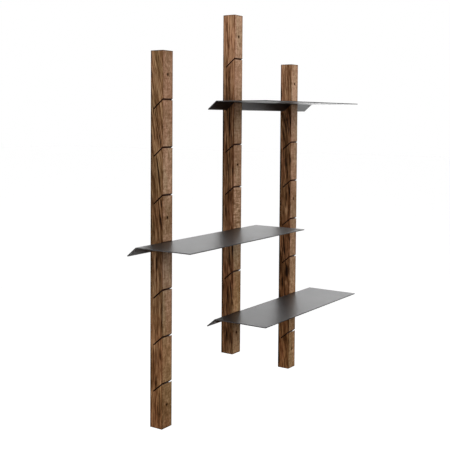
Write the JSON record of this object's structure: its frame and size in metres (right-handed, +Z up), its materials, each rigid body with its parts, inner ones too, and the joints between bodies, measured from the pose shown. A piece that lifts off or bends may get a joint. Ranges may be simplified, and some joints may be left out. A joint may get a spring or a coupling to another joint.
{
  "type": "wall shelf",
  "caption": "Wall shelf of slotted wooden posts, with bent sheet-steel shelves that hook into slanted kerfs at any level and slide sideways.",
  "frame": {"origin": "on the wall plane, at the middle of the centre post's back face", "axes": "+Z up along the posts, +X to the right when facing the shelf, +Y into the wall"},
  "size_m": [0.931, 0.2174, 1.125],
  "materials": {
    "oak": "matte",
    "powder_coat": "matte",
    "black_steel": "satin"
  },
  "bodies": {
    "posts": {"post_left": "oak", "post_centre": "oak", "post_right": "oak", "screw_left_top": "black_steel", "screw_left_middle": "black_steel", "screw_left_bottom": "black_steel", "screw_centre_top": "black_steel", "screw_centre_middle": "black_steel", "screw_centre_bottom": "black_steel", "screw_right_top": "black_steel", "screw_right_middle": "black_steel", "screw_right_bottom": "black_steel"},
    "upper_shelf": {"shelf_upper": "powder_coat"},
    "middle_shelf": {"shelf_middle": "powder_coat"},
    "lower_shelf": {"shelf_lower": "powder_coat"}
  },
  "joints": [
    {"name": "upper_shelf_lift", "type": "slide", "parent": "posts", "child": "upper_shelf", "axis": [0, -0.766, 0.6428], "range_m": [0, 0.08]},
    {"name": "middle_shelf_lift", "type": "slide", "parent": "posts", "child": "middle_shelf", "axis": [0, -0.766, 0.6428], "range_m": [0, 0.08]},
    {"name": "lower_shelf_lift", "type": "slide", "parent": "posts", "child": "lower_shelf", "axis": [0, -0.766, 0.6428], "range_m": [0, 0.08]}
  ]
}
